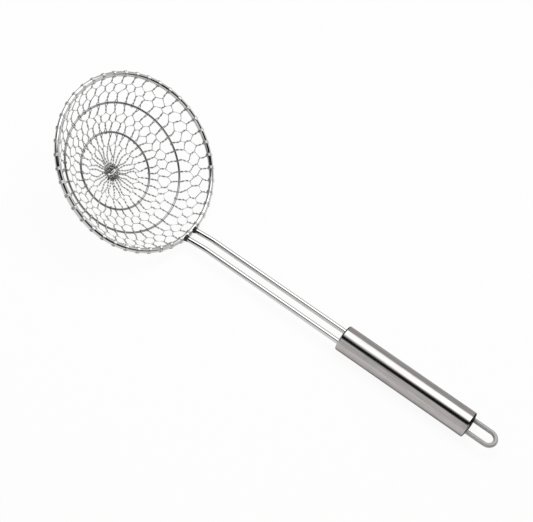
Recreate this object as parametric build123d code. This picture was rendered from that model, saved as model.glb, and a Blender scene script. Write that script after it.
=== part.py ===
from build123d import *
from math import asin, cos, degrees, pi, radians, sin, sqrt
import os

# A spider skimmer lying on a table, in millimetres.
# +X runs along the handle towards the hanging loop, +Z is up.
# The tube lies flat on the table, and the bowl rests on the middle ring of its net.
# The origin is below the centre of the whole tool, on the table.

# Bowl: radii are to the middle of each wire
rim_radius = 68.0
rim_wire = 3.8
bowl_depth = 37.0
ring_wire = 1.7
hub_radius = 5.0
hub_wire = 1.2

# Net: thin wires laid together in pairs, in seven equal sectors
net_wire = 0.7
wire_gap = 0.08
sectors = 7

# Rim wraps
wrap_turns = 3
wrap_steps = 8
wrap_gap = 0.03

# Handle
handle_angle = 34.5
tube_diameter = 20.5
tube_length = 110.0
tube_wall = 1.0
cap_wall = 1.0
cap_dome = 2.2
cap_shoulder = 0.8
cap_edge = 1.0
cap_skirt = 3.0
rod_diameter = 4.1
rod_spacing = 10.7
rod_reach = 144.5
rod_rise_run = 19.0
rod_bend_radius = 60.0
rod_inside = 26.0
weld_length = 3.2
weld_leg = 0.9
loop_wire = 3.5
loop_spacing = 12.1
loop_reach = 24.4
loop_inside = 12.0
fit_gap = 0.02

# Where the middle and inner rings stand on the bowl, as shares of the rim's radius
middle_ring_radius_share = 0.747
inner_ring_radius_share = 0.4485

# Where the columns of wire pairs stand in one sector, as shares of the sector.
# At the middle ring one column of the outer zone is only hooked round the ring,
# and at the inner ring one column of the middle zone is.
outer_columns = 6
middle_columns = 5
inner_columns = 4
middle_ring_columns_share = (0.0, 0.183, 0.367, 0.5, 0.633, 0.817)
middle_ring_hook = 3
inner_ring_columns_share = (0.0, 0.1625, 0.3875, 0.6125, 0.8375)
inner_ring_hook = 0
inner_start_share = 0.5

# Ends of each row of pairs, as shares of the way across its zone
outer_rows_share = ((0.0, 0.28), (0.385, 0.62), (0.725, 1.0))
middle_rows_share = ((0.0, 0.28), (0.375, 0.64), (0.735, 1.0))
inner_rows_share = ((0.0, 0.30), (0.39, 1.0))

# A pair opens over and under a ring. These are how far each bend is from the ring's middle,
# and how far off the bowl's surface, both as shares of the offset that clears the ring.
crossing_share = ((2.0, 0.0), (0.4, 1.0), (0.0, 1.0))
hook_steps = 5

# How far up from the rim wire's middle a rod starts, as a share of the rim wire's radius
rod_start_share = 0.5

# Sizes that follow
middle_ring_radius = rim_radius * middle_ring_radius_share
inner_ring_radius = rim_radius * inner_ring_radius_share
net_r = net_wire / 2
strand_offset = net_r + wire_gap / 4
bowl_radius = (rim_radius ** 2 + bowl_depth ** 2) / (2 * bowl_depth)
bowl_centre = Vector(0, 0, bowl_radius - bowl_depth)
wrap_radius = (rim_wire / 2 + net_r + wrap_gap) / cos(pi / wrap_steps)
ring_offset = ring_wire / 2 + net_r + wire_gap
hub_offset = hub_wire / 2 + net_r + wire_gap
sector_angle = 360 / sectors


def ring_arc(radius):
    """Distance along the bowl's curve, from its lowest point to a ring."""
    return bowl_radius * asin(radius / bowl_radius)


def on_bowl(arc, turn, out=0.0, across=0.0):
    """A point on the bowl's sphere, moved outwards and across along the ring's way."""
    lean = arc / bowl_radius
    around = radians(turn)
    outward = Vector(sin(lean) * cos(around), sin(lean) * sin(around), -cos(lean))
    sideways = Vector(-sin(around), cos(around), 0)
    return bowl_centre + outward * (bowl_radius + out) + sideways * across


def wire_solid(points, diameter):
    """A round wire through the points, mitred at each bend."""
    path = Polyline(*points)
    section = Plane(origin=path @ 0, z_dir=path % 0) * Circle(diameter / 2)
    return sweep(section, path=path, transition=Transition.RIGHT)


def spun(solid, count, step):
    """Copies of a solid round the bowl's axis."""
    return [solid.moved(Location((0, 0, 0), (0, 0, index * step))) for index in range(count)]


def pair_run(arcs, turns, side):
    """One wire of a pair along a row: it lies on one side of the pair's middle."""
    return [on_bowl(arc, turn, 0, side * strand_offset) for arc, turn in zip(arcs, turns)]


def crossing(ring, turn, offset, side, inwards, closing=0):
    """One wire of a pair, from the end of its run to over or under a ring's middle.

    closing is 0 where the pair's wires stay side by side, and 1 where they close on one line.
    """
    way = 1 if inwards else -1
    across = side * strand_offset * (1 - closing)
    points = []
    for distance, off in crossing_share[1:]:
        points.append(on_bowl(ring + way * distance * offset, turn, side * off * offset, across))
    return points if inwards else points[::-1]


def hook(ring, turn, offset, side, closing=0):
    """The wire goes on round the inner side of a ring, to its other face."""
    across = side * strand_offset * (1 - closing)
    points = []
    for step in range(1, hook_steps + 1):
        angle = pi / 2 - pi * step / (hook_steps + 1)
        points.append(on_bowl(ring - offset * cos(angle), turn, side * offset * sin(angle), across))
    return points


def row_arcs(arc_start, arc_end, rows_share):
    """Start and end of each row, in distance along the bowl's curve."""
    span = arc_end - arc_start
    return [(arc_start + span * start, arc_start + span * end) for start, end in rows_share]


def column_turn(column, columns, start_share=0.0):
    """Angle round the bowl of an evenly spaced column."""
    return (column + start_share) / columns * sector_angle


def ring_turn(column, share):
    """Angle round the bowl of a column where it meets a ring."""
    sector, place = divmod(column, len(share))
    return (sector + share[place]) * sector_angle


def inner_ring_turn(column):
    """The same for the inner zone, whose columns leave out the hooked one."""
    sector, place = divmod(column, inner_columns)
    return (sector + inner_ring_columns_share[place + 1]) * sector_angle


def middle_zone_turn(column):
    """The same for the middle zone's columns at the middle ring."""
    sector, place = divmod(column, middle_columns)
    through = [share for index, share in enumerate(middle_ring_columns_share) if index != middle_ring_hook]
    return (sector + through[place]) * sector_angle


def outer_wire(column, side):
    """A net wire from the rim to the middle ring, in two columns by turns."""
    ring = ring_arc(middle_ring_radius)
    start = ring_arc(rim_radius) - wrap_radius - net_r - fit_gap
    rows = row_arcs(start, ring + crossing_share[0][0] * ring_offset, outer_rows_share)
    here = column_turn(column, outer_columns)
    beside = column_turn(column + side / 2, outer_columns)
    there = ring_turn(column, middle_ring_columns_share)
    points = pair_run(rows[0], (here, here), side)
    points += pair_run(rows[1], (beside, beside), -side)
    points += pair_run(rows[2], (here, there), side)
    points += crossing(ring, there, ring_offset, side, True)
    if column % outer_columns == middle_ring_hook:
        points += hook(ring, there, ring_offset, side)
    return points


def middle_wire(column, side):
    """A net wire from the middle ring to the inner ring, in two columns by turns."""
    outside = ring_arc(middle_ring_radius)
    inside = ring_arc(inner_ring_radius)
    opening = crossing_share[0][0] * ring_offset
    rows = row_arcs(outside - opening, inside + opening, middle_rows_share)
    here = column_turn(column, middle_columns)
    beside = column_turn(column + side / 2, middle_columns)
    start = middle_zone_turn(column)
    end = ring_turn(column, inner_ring_columns_share)
    points = crossing(outside, start, ring_offset, side, False)
    points += pair_run(rows[0], (start, here), side)
    points += pair_run(rows[1], (beside, beside), -side)
    points += pair_run(rows[2], (here, end), side)
    points += crossing(inside, end, ring_offset, side, True)
    if column % middle_columns == inner_ring_hook:
        points += hook(inside, end, ring_offset, side)
    return points


def inner_half(column, side):
    """Half of an inner net wire, from the inner ring to the hub ring."""
    outside = ring_arc(inner_ring_radius)
    inside = ring_arc(hub_radius)
    start = outside - crossing_share[0][0] * ring_offset
    rows = row_arcs(start, inside + crossing_share[0][0] * hub_offset, inner_rows_share)
    here = column_turn(column, inner_columns, inner_start_share)
    beside = column_turn(column + side / 2, inner_columns, inner_start_share)
    at_ring = inner_ring_turn(column)
    points = crossing(outside, at_ring, ring_offset, side, False)
    points += pair_run(rows[0], (at_ring, here), side)
    points += pair_run(rows[1], (beside, beside), -side)
    points += crossing(inside, beside, hub_offset, -side, True, closing=1)
    return points


def inner_wire(column):
    """An inner net wire, in along one column, round the hub ring and out along the next."""
    there = inner_half(column, 1)
    back = inner_half(column + 1, -1)
    beside = column_turn(column + 1 / 2, inner_columns, inner_start_share)
    return there + hook(ring_arc(hub_radius), beside, hub_offset, -1, closing=1) + back[::-1]


def wrap_wire():
    """A short wire wound three turns round the rim, at the column in the handle's plane."""
    lean = ring_arc(rim_radius) / bowl_radius
    first = pi + lean
    width = wrap_turns * (net_wire + fit_gap)
    points = []
    for step in range(wrap_turns * wrap_steps + 1):
        share = step / (wrap_turns * wrap_steps)
        angle = first + 2 * pi * wrap_turns * share
        reach = rim_radius + wrap_radius * cos(angle)
        points.append(Vector(reach, width * (share - 1 / 2), wrap_radius * sin(angle)))
    return points


def knot_wire():
    """A flat spiral of net wire that fills the hub ring inside the hooked wires."""
    pitch = net_wire + wire_gap
    widest = hub_radius - hub_offset - net_wire - wire_gap
    turns = (widest - net_wire) / pitch
    steps = round(turns * wrap_steps)
    points = []
    for step in range(steps + 1):
        radius = net_wire + (widest - net_wire) * step / steps
        points.append(on_bowl(ring_arc(radius), degrees(2 * pi * turns * step / steps)))
    return points


def ring(radius, diameter):
    """A closed wire ring lying on the bowl's sphere."""
    arc = ring_arc(radius)
    level = on_bowl(arc, 0).Z
    return Pos(0, 0, level) * Torus(radius, diameter / 2)


def net_nodes():
    """The net wires, made for one sector and repeated in the others."""
    sides = (-1, 1)
    zones = {
        "outer_net": [outer_wire(column, side) for column in range(outer_columns) for side in sides],
        "middle_net": [middle_wire(column, side) for column in range(middle_columns) for side in sides],
        "inner_net": [inner_wire(column) for column in range(inner_columns)],
    }
    nodes = {}
    for zone, paths in zones.items():
        wires = [wire_solid(points, net_wire) for points in paths]
        for sector in range(sectors):
            place = Location((0, 0, 0), (0, 0, sector * sector_angle))
            nodes[f"{zone}_sector_{sector + 1}"] = [wire.moved(place) for wire in wires]
    return nodes


def bowl_nodes():
    """The bowl in its own frame: the rim's plane is z = 0 and the handle goes towards +X."""
    nodes = net_nodes()
    wraps = outer_columns * sectors
    nodes["rim_ring"] = [ring(rim_radius, rim_wire)]
    nodes["middle_ring"] = [ring(middle_ring_radius, ring_wire)]
    nodes["inner_ring"] = [ring(inner_ring_radius, ring_wire)]
    nodes["hub_ring"] = [ring(hub_radius, hub_wire)]
    nodes["centre_knot"] = [wire_solid(knot_wire(), net_wire)]
    nodes["rim_wraps"] = spun(wire_solid(wrap_wire(), net_wire), wraps, 360 / wraps)
    return nodes


def lowest(nodes):
    """The lowest point of some nodes."""
    return min(solid.bounding_box().min.Z for solids in nodes.values() for solid in solids)


def placed(nodes, place):
    """The same nodes, moved."""
    return {name: [solid.moved(place) for solid in solids] for name, solids in nodes.items()}


def rod(side, rim_point, tube_front, height):
    """A handle rod: it rises from the rim, bends level and runs on into the tube."""
    start = Vector(rim_point.X, side * rod_spacing / 2, rim_point.Z)
    knee = Vector(rim_point.X + rod_rise_run, start.Y, height)
    end = Vector(tube_front + rod_inside, start.Y, height)
    path = FilletPolyline(start, knee, end, radius=rod_bend_radius)
    way = (knee - start).normalized()
    bar = sweep(Plane(origin=start, z_dir=way) * Circle(rod_diameter / 2), path=path)
    foot = start + way * (rim_wire / 2 * rod_start_share)
    return bar.split(Plane(origin=foot, z_dir=way), keep=Keep.TOP), foot, way


def weld(foot, way):
    """A weld bead round the foot of a rod."""
    wide = rod_diameter / 2 + weld_leg
    plane = Plane(origin=foot, z_dir=way)
    return plane * Pos(0, 0, weld_length / 2) * Cone(wide, rod_diameter / 2, weld_length)


def along_handle(profile):
    """Turn a profile drawn with X along the handle and Y outwards into a round piece."""
    return revolve(Plane.XZ * profile, Axis.X)


def handle_tube():
    """The handle tube, open at both ends."""
    outside = tube_diameter / 2
    inside = outside - tube_wall
    outline = Polyline((0, inside), (0, outside), (tube_length, outside), (tube_length, inside), close=True)
    return along_handle(make_face(outline))


def end_cap(way, bores, bore_diameter):
    """A domed cap for one end of the tube, with a skirt inside it and holes for what it holds."""
    outside = tube_diameter / 2
    skirt = outside - tube_wall
    inside = skirt - cap_wall
    back = -way * cap_skirt
    shoulder = (way * cap_shoulder, outside)
    crown = TangentArc((way * cap_dome, 0), shoulder, tangent=(0, 1))
    hollow = TangentArc((way * (cap_dome - cap_wall), 0), (0, inside), tangent=(0, 1))
    lip = Polyline(shoulder, (0, outside), (0, skirt), (back, skirt), (back, inside), (0, inside))
    middle = Line((way * cap_dome, 0), (way * (cap_dome - cap_wall), 0))
    profile = make_face([crown, hollow, lip, middle])
    profile = fillet(profile.vertices().sort_by_distance(shoulder)[0], cap_edge)
    cap = along_handle(profile)
    for place in bores:
        hole = Cylinder(bore_diameter / 2 + fit_gap, 2 * (cap_dome + cap_skirt))
        cap -= Pos(0, place, 0) * Rot(0, 90, 0) * hole
    return cap


def hanging_loop(back, height):
    """A U of wire whose arms go through the rear cap."""
    half = loop_spacing / 2
    bend = back + loop_reach - loop_wire / 2 - half
    inside = back - loop_inside
    upper = Line((inside, half, height), (bend, half, height))
    round_end = ThreePointArc((bend, half, height), (bend + half, 0, height), (bend, -half, height))
    lower = Line((bend, -half, height), (inside, -half, height))
    path = Wire([upper.edge(), round_end.edge(), lower.edge()])
    return sweep(Plane(origin=(inside, half, height), z_dir=(1, 0, 0)) * Circle(loop_wire / 2), path=path)


def handle_nodes(bowl, bowl_place):
    """The rods, welds, tube, caps and loop, from where the rim lies."""
    height = tube_diameter / 2
    reach = sqrt(rim_radius ** 2 - (rod_spacing / 2) ** 2)
    rim_point = (bowl_place * Pos(reach, 0, 0)).position
    rim_front = (bowl_place * Pos(rim_radius, 0, 0)).position.X
    front = rim_front + rod_reach
    back = front + tube_length
    rim = bowl["rim_ring"][0]
    nodes = {}
    for name, side in (("left", 1), ("right", -1)):
        bar, foot, way = rod(side, rim_point, front, height)
        nodes[f"{name}_rod"] = [(bar - rim).solid()]
        nodes[f"{name}_rod_weld"] = [(weld(foot, way) - bar - rim).solid()]
    rods = (-rod_spacing / 2, rod_spacing / 2)
    arms = (-loop_spacing / 2, loop_spacing / 2)
    nodes["handle_tube"] = [Pos(front, 0, height) * handle_tube()]
    nodes["front_end_cap"] = [Pos(front, 0, height) * end_cap(-1, rods, rod_diameter)]
    nodes["rear_end_cap"] = [Pos(back, 0, height) * end_cap(1, arms, loop_wire)]
    nodes["hanging_loop"] = [hanging_loop(back, height)]
    return nodes


def whole_tool():
    """Tilt the bowl, stand it on the table, add the handle and centre everything."""
    tilt = Location((0, 0, 0), (0, handle_angle, 0))
    bowl = bowl_nodes()
    drop = lowest(placed(bowl, tilt))
    bowl_place = Location((0, 0, -drop)) * tilt
    bowl = placed(bowl, bowl_place)
    nodes = bowl | handle_nodes(bowl, bowl_place)
    boxes = [solid.bounding_box() for solids in nodes.values() for solid in solids]
    middle_x = (min(box.min.X for box in boxes) + max(box.max.X for box in boxes)) / 2
    middle_y = (min(box.min.Y for box in boxes) + max(box.max.Y for box in boxes)) / 2
    return placed(nodes, Location((-middle_x, -middle_y, 0)))


os.makedirs("parts", exist_ok=True)
for name, solids in whole_tool().items():
    export_step(Compound(children=solids) if len(solids) > 1 else solids[0], f"parts/{name}.step")
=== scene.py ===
"""The look of a spider skimmer.

It is a wire-net bowl on twin rods, with a satin tube handle and a hanging loop.
"""
import math

import bmesh
import bpy
import numpy as np
from bpy.props import FloatProperty, FloatVectorProperty, IntProperty, PointerProperty
from mathutils import Matrix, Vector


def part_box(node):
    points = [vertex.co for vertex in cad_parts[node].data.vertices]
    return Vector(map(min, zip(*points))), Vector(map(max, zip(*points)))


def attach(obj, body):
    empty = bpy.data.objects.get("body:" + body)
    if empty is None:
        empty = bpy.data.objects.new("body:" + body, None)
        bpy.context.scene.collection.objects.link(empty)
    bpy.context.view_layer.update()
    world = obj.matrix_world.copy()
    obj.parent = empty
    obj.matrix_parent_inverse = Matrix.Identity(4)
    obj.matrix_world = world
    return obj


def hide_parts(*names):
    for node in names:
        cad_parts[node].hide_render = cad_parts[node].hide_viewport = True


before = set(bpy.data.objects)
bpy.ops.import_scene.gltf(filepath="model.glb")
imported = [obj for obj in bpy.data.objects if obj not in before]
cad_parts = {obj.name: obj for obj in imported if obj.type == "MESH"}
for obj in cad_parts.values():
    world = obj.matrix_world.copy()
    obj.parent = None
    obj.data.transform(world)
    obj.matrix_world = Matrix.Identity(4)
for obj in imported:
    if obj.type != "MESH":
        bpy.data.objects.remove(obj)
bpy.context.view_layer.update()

bl_info = {
    "name": "Spider skimmer",
    "version": (1, 0, 0),
    "blender": (4, 5, 0),
    "location": "3D View > Sidebar > Skimmer",
    "description": "Builds the wires, rods, tube and finishes of a spider skimmer round its frame",
    "category": "Mesh",
}

MM = 0.001
SECTORS = 7

# Columns of wire pairs in one sector, and where they stand at each ring, as shares of the sector.
# At each ring the column of the number given as its hook is bent round it and goes no further in.
OUTER_COLUMNS = 6
MIDDLE_COLUMNS = 5
INNER_COLUMNS = 4
MIDDLE_RING_COLUMNS_SHARE = (0.0, 0.183, 0.367, 0.5, 0.633, 0.817)
MIDDLE_RING_HOOK = 3
INNER_RING_COLUMNS_SHARE = (0.0, 0.1625, 0.3875, 0.6125, 0.8375)
INNER_RING_HOOK = 0

# Ends of each row of twists, as shares of the way across its zone
OUTER_ROWS_SHARE = (0.0, 0.28, 0.385, 0.62, 0.725, 1.0)
MIDDLE_ROWS_SHARE = (0.0, 0.28, 0.375, 0.64, 0.735, 1.0)
INNER_ROWS_SHARE = (0.0, 0.30, 0.39, 1.0)

# A pair opens over and under a ring: how far before the ring each bend lies, in ring offsets
OPENING_START = 2.0
OPENING_END = 0.4

# Points along a wire between two of its bends
ROW_POINTS = 16
GAP_POINTS = 6
CROSSING_POINTS = 5
RING_END_POINTS = 2
HOOK_POINTS = 8
SMOOTHING_PASSES = 3

# Seeds of what is uneven in each zone and in the wraps
OUTER_SEED = 1
MIDDLE_SEED = 11
INNER_SEED = 21
WRAPS_SEED = 5

# How rows stray: the numbers of waves round the bowl, the shortest wave along a wire, what the
# sum of the waves is divided by, and the power that shapes how they die out
STRAY_WAVES = (3, 5, 8, 13, 19)
STRAY_LENGTH = 12 * MM
STRAY_SPREAD = 1.6
STRAY_END_POWER = 0.7

# Painted shade of a twist of even tone, of which a dashed one keeps a part: the net's colour is
# darkened where the two wires of a pair lie close, in place of the shade between them
TWIST_PAINTED_SHADE = 0.7

# Points round each ring
RING_POINTS = {"rim_ring": 320, "middle_ring": 240, "inner_ring": 180, "hub_ring": 72}

# The wraps round the rim: points in a turn, how far a turn may slant, and how far apart the turns
# lie, both in wires
WRAP_POINTS = 14
WRAP_SLANT = 0.35
WRAP_PITCH = 1.03

# The knot: points in a turn, where it starts, in turns, and how far it lies from the centre, away
# from the handle. Then half the width of each part, along the handle and across it.
KNOT_POINTS = 60
KNOT_START = 0.23
KNOT_SHIFT = 0.3 * MM
TANGLE_REACH = (2.2 * MM, 4.2 * MM)
STRAND_REACH = (1.2 * MM, 4.6 * MM)
STRAND_TURNS = 0.46

# Rods, welds, tube, caps and loop: flats round a wire, points along each part
ROUND_SIDES = 32
ROD_BEND_POINTS = 16
ROD_STEP = 4 * MM
BEAD_ROWS = 14
BEAD_SIDES = 40
TUBE_ROWS = 56
EDGE_ROWS = 10
CROWN_ROWS = 14
LOOP_BEND_POINTS = 40
LOOP_ARM_POINTS = 10
MERGE_DISTANCE = 1e-7
SHARP_SHEET = math.radians(40)
SHARP_END = math.radians(50)

# Colours of the ring and net wires as shares of bright steel, the height of the grain's relief,
# and how far from the handle's middle a cap's dark stripe is full and where it ends. The rings'
# share is painted shade, a darker copy of the steel, and the net's is painted light, a lighter
# copy. The cap's stripe is painted shade between the loop's arms and between the rods.
RING_PAINTED_SHADE = 0.58
NET_PAINTED_LIGHT = 1.32
RELIEF = 0.05 * MM
CAP_SHADE_STRIPE = (4.6 * MM, 6.4 * MM)

# What the metal mirrors. Each panel is centred on a direction, and squeezed along X, Y and Z.
# Its edge is at a distance from that direction, with a soft part inside the edge, and it has a
# strength. A panel stands in front of those before it.
PANELS = (
    ((-0.15, 0.95, 0.2), (0.6, 1.0, 0.8), 0.75, 0.25, 0.68),
    ((-0.95, -0.2, 0.25), (1.0, 0.8, 1.0), 0.7, 0.3, 0.35),
    ((-0.1, 0.3, 0.97), (0.95, 1.9, 1.3), 0.94, 0.34, 2.7),
    ((0.55, 0.78, 0.38), (1.0, 1.0, 1.0), 0.47, 0.2, 1.15),
    ((0.95, -0.15, 0.3), (1.0, 1.4, 1.0), 0.78, 0.2, 0.05),
    ((0.62, 0.32, 0.71), (1.0, 1.0, 1.0), 0.33, 0.12, 0.01),
    ((0.5, -0.06, 0.86), (1.0, 1.0, 1.0), 0.36, 0.12, 0.005),
    ((0.16, -0.47, 0.86), (1.0, 1.0, 1.0), 0.38, 0.13, 0.012),
    ((-0.2, -0.52, 0.82), (1.0, 1.0, 1.0), 0.32, 0.14, 0.012),
    ((-0.52, -0.6, 0.6), (1.0, 1.0, 1.0), 0.32, 0.14, 0.02),
    ((-0.44, -0.42, 0.8), (1.0, 1.0, 1.0), 0.28, 0.12, 0.03),
    ((-0.7, -0.22, 0.68), (1.0, 1.0, 1.0), 0.32, 0.14, 0.12),
    ((-0.45, -0.84, 0.25), (1.0, 1.0, 0.8), 0.34, 0.14, 0.03),
)

# The lamp above, and the camera's sensor, in mm, and furthest sight
KEY_SIZE = 0.9
KEY_PLACE = (-0.15, 0.25, 1.2)
KEY_TILT = (math.radians(-12), math.radians(-7), 0)
SENSOR_WIDTH = 36
SIGHT = 20


def size_of(node):
    """Width of a CAD node's box along X, Y and Z."""
    low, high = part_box(node)
    return high - low


def length_field(name, description, default):
    """A setting in metres."""
    return FloatProperty(name=name, description=description, default=default, unit="LENGTH",
                         precision=5)


def angle_field(name, description, degrees):
    """A setting that is an angle."""
    return FloatProperty(name=name, description=description, default=math.radians(degrees),
                         unit="ROTATION")


def count_field(name, description, default, least):
    """A setting that is a whole number."""
    return IntProperty(name=name, description=description, default=default, min=least)


def share_field(name, description, default):
    """A setting from 0 to 1."""
    return FloatProperty(name=name, description=description, default=default, min=0, max=1)


def light_field(name, description, default):
    """A setting that is an amount of light."""
    return FloatProperty(name=name, description=description, default=default, min=0)


def colour_field(name, description, default):
    """A setting that is a colour."""
    return FloatVectorProperty(name=name, description=description, default=default, size=3,
                               subtype="COLOR")


class BowlSettings(bpy.types.PropertyGroup):
    """Sizes of the bowl's wires and its depth. The rings' widths come from the frame."""

    rim_wire: length_field("Rim wire", "Diameter of the rim's wire", 3.8 * MM)
    ring_wire: length_field("Ring wire", "Diameter of the middle and inner rings' wire", 1.7 * MM)
    hub_wire: length_field("Hub wire", "Diameter of the hub ring's wire", 1.2 * MM)
    depth: length_field("Depth", "From the rim's plane to the bowl's lowest wire", 37 * MM)
    ring_sides: count_field("Sides", "Flats round each ring's wire", 24, 8)


class NetSettings(bpy.types.PropertyGroup):
    """Sizes of the net's thin wires."""

    wire: length_field("Net wire", "Diameter of the net's wire", 0.7 * MM)
    gap: length_field("Gap", "Space left between wires that cross", 0.08 * MM)
    row_turns: count_field("Row turns", "Full turns of the twist in one row", 1, 1)
    hub_turns: count_field("Hub turns", "Full turns of the twist next to the hub", 3, 1)
    unevenness: length_field("Unevenness", "How far a row strays from its regular place", 0.68 * MM)
    steady_radius: length_field("Steady radius", "Inside it a row strays by no larger angle",
                                4.6 * MM)
    # The rows' darkness is painted shade between the twisted wires of each pair
    dashes: share_field("Dashes", "How much the rows' darkness comes and goes", 0.2)
    hub_dashes: share_field("Hub dashes", "The same next to the hub", 0.95)
    sides: count_field("Sides", "Flats round each net wire", 8, 5)
    wrap_turns: count_field("Wrap turns", "Turns of each wrap round the rim", 3, 1)
    knot_offset: length_field("Knot offset", "From the bowl's centre to each half of the tangle",
                              2.5 * MM)
    knot_turns: count_field("Knot turns", "Turns of wire in each half of the tangle", 8, 1)


class HandleSettings(bpy.types.PropertyGroup):
    """Sizes of the handle that the frame's boxes don't show."""

    rod_spacing: length_field("Rod spacing", "Between the middles of the two rods", 10.7 * MM)
    rod_rise_run: length_field("Rod rise", "Length of a rod's slanted start, along the handle",
                               19 * MM)
    rod_bend_radius: length_field("Rod bend", "Radius of the bend in each rod", 60 * MM)
    weld_length: length_field("Weld length", "Length of a weld bead along its rod", 3.2 * MM)
    weld_leg: length_field("Weld leg", "How far a weld bead stands out from its rod", 0.9 * MM)
    weld_lumps: length_field("Weld lumps", "Height of the ripples on a weld bead", 0.18 * MM)
    tube_wall: length_field("Tube wall", "Thickness of the tube's sheet", 1 * MM)
    cap_dome: length_field("Cap dome", "How far an end cap stands out from the tube", 2.2 * MM)
    cap_shoulder: length_field("Cap shoulder", "Straight part of a cap's side", 0.8 * MM)
    cap_edge: length_field("Cap edge", "Radius of a cap's rounded edge", 1 * MM)
    loop_spacing: length_field("Loop spacing", "Between the middles of the loop's arms", 12.1 * MM)
    round_steps: count_field("Round steps", "Flats round the tube", 128, 32)


class FinishSettings(bpy.types.PropertyGroup):
    """Colours and roughness of the steel."""

    steel: colour_field("Steel", "Bright steel", (0.74, 0.735, 0.73))
    satin: colour_field("Satin", "Satin steel of the tube", (0.63, 0.6, 0.59))
    loop: colour_field("Loop", "Satin steel of the hanging loop", (0.5, 0.488, 0.48))
    # The tangle's steel is darkened in bands along its wire, by its dark values
    knot: colour_field("Knot", "Banded steel of the tangle at the centre", (0.85, 0.845, 0.84))
    weld: colour_field("Weld", "Burnt steel of the welds", (0.075, 0.068, 0.064))
    polish: share_field("Polish", "Roughness of the bright wires", 0.07)
    loop_satin: share_field("Loop satin", "Roughness of the hanging loop", 0.5)
    brushing: share_field("Brushing", "Roughness of the satin tube", 0.08)


class StageSettings(bpy.types.PropertyGroup):
    """The camera and the light of the studio."""

    focal: FloatProperty(name="Focal length", description="For a 36 mm sensor, in mm", default=90.3)
    azimuth: angle_field("Azimuth", "Way to the camera, round the object", 21.168)
    elevation: angle_field("Elevation", "Way to the camera, above the floor", 52.258)
    roll: angle_field("Roll", "Tilt of the picture", 17.519)
    camera_place: FloatVectorProperty(name="Camera", description="Where the camera stands", size=3,
                                      subtype="TRANSLATION", default=(0.2035, -0.5629, 0.8150))
    floor_size: length_field("Floor", "Width of the floor", 30.0)
    floor_level: share_field("Floor level", "Colour of the floor", 0.82)
    floor_white: share_field("Floor white", "Share of white in the floor, for the camera", 0.93)
    floor_mirrored: share_field("Floor mirrored", "The same for what metal mirrors", 0.35)
    surround: light_field("Surround", "What the metal mirrors between the panels", 0.95)
    ambient: light_field("Ambient", "Light from all round", 0.56)
    key_power: light_field("Key light", "Power of the lamp above, in watts", 10.0)


GROUPS = {
    "skimmer_bowl": BowlSettings,
    "skimmer_net": NetSettings,
    "skimmer_handle": HandleSettings,
    "skimmer_finish": FinishSettings,
    "skimmer_stage": StageSettings,
}


class Bowl:
    """Where the bowl stands in the frame: its rim circle, its tilt and its sphere.

    The tilt is that of a circle whose box is as long and as high as the rim's, less its wire.
    The sphere goes through the rim and the lowest point, so its radius is
    (rim radius ** 2 + depth ** 2) / (2 * depth).
    """

    def __init__(self, settings):
        low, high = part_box("rim_ring")
        wire = settings.rim_wire / 2
        size = high - low
        self.settings = settings
        self.centre = np.array((low + high) / 2)
        self.rim_radius = size.y / 2 - wire
        self.tilt = math.atan2(size.z / 2 - wire, size.x / 2 - wire)
        self.radius = (self.rim_radius ** 2 + settings.depth ** 2) / (2 * settings.depth)
        self.middle_radius = size_of("middle_ring").y / 2 - settings.ring_wire / 2
        self.inner_radius = size_of("inner_ring").y / 2 - settings.ring_wire / 2
        self.hub_radius = size_of("hub_ring").y / 2 - settings.hub_wire / 2
        self.sphere = np.array((0.0, 0.0, self.radius - settings.depth))
        c, s = math.cos(self.tilt), math.sin(self.tilt)
        self.axes = np.array(((c, 0.0, -s), (0.0, 1.0, 0.0), (s, 0.0, c)))

    def arc(self, radius):
        """Distance along the sphere from its lowest point to the circle of that radius."""
        return self.radius * math.asin(radius / self.radius)

    def placed(self, vectors):
        """Directions in the bowl's own axes, turned into the frame's."""
        return vectors @ self.axes

    def point(self, arc, turn, out=0.0, across=0.0):
        """Points on the sphere, and the way round the bowl at each.

        The outward way leans from straight down by arc / radius, towards the angle turn. A point is
        the sphere's middle plus (radius + out) along that way, plus across along the way round.
        """
        arc, turn, out, across = np.broadcast_arrays(arc, turn, out, across)
        lean = arc / self.radius
        outward = np.stack((np.sin(lean) * np.cos(turn), np.sin(lean) * np.sin(turn),
                            -np.cos(lean)), -1)
        sideways = np.stack((-np.sin(turn), np.cos(turn), np.zeros_like(turn)), -1)
        points = (self.sphere + outward * (self.radius + out)[..., None]
                  + sideways * across[..., None])
        return self.centre + self.placed(points), self.placed(sideways)


def unit(vectors):
    """Vectors scaled to length one."""
    return vectors / np.linalg.norm(vectors, axis=-1, keepdims=True)


def grid_faces(rows, columns, closed_rows, closed_columns):
    """Four corner numbers for each face of a grid, whose sides may join up."""
    row = np.arange(rows if closed_rows else rows - 1)[:, None]
    column = np.arange(columns if closed_columns else columns - 1)[None, :]
    next_row, next_column = (row + 1) % rows, (column + 1) % columns
    corners = (row * columns + column, row * columns + next_column,
               next_row * columns + next_column, next_row * columns + column)
    return np.stack(corners, -1).reshape(-1, 4)


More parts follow.
